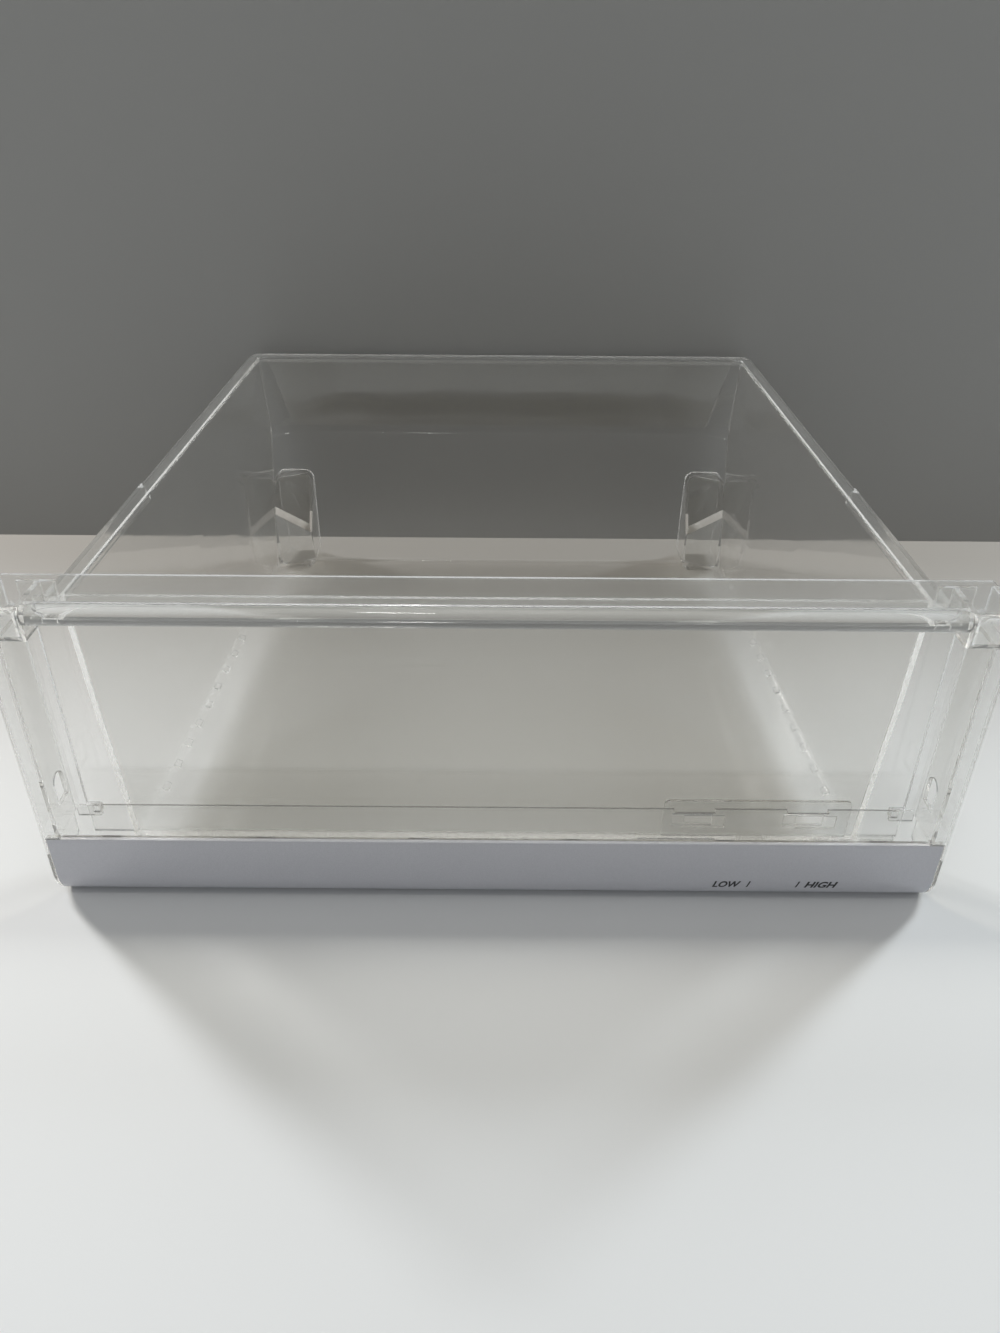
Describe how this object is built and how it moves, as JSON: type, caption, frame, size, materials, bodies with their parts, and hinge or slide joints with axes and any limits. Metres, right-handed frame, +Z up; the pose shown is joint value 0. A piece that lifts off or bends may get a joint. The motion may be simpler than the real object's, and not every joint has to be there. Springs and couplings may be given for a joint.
{
  "type": "crisper drawer",
  "caption": "Clear refrigerator drawer with a framed front, rounded handle ledge, opaque trim strip, rim runners and a sliding humidity vent.",
  "frame": {"origin": "under the middle of the drawer, on the surface that it rests on", "axes": "+X to the right seen from the front, +Y from the front to the rear, +Z up"},
  "size_m": [0.458, 0.438, 0.174],
  "materials": {
    "clear_tub": "clear moulded polystyrene, glossy",
    "clear_frame": "clear moulded polystyrene, glossy",
    "grey_trim": "satin silver grey",
    "clear_slider": "clear moulded polystyrene, glossy"
  },
  "bodies": {
    "drawer": {"tub": "clear_tub", "front_frame": "clear_frame", "trim_strip": "grey_trim"},
    "slider": {"humidity_slider": "clear_slider"}
  },
  "joints": [
    {"name": "humidity_slide", "type": "slide", "parent": "drawer", "child": "slider", "axis": [1, 0, 0], "range_m": [-0.0062, 0.0197]}
  ]
}
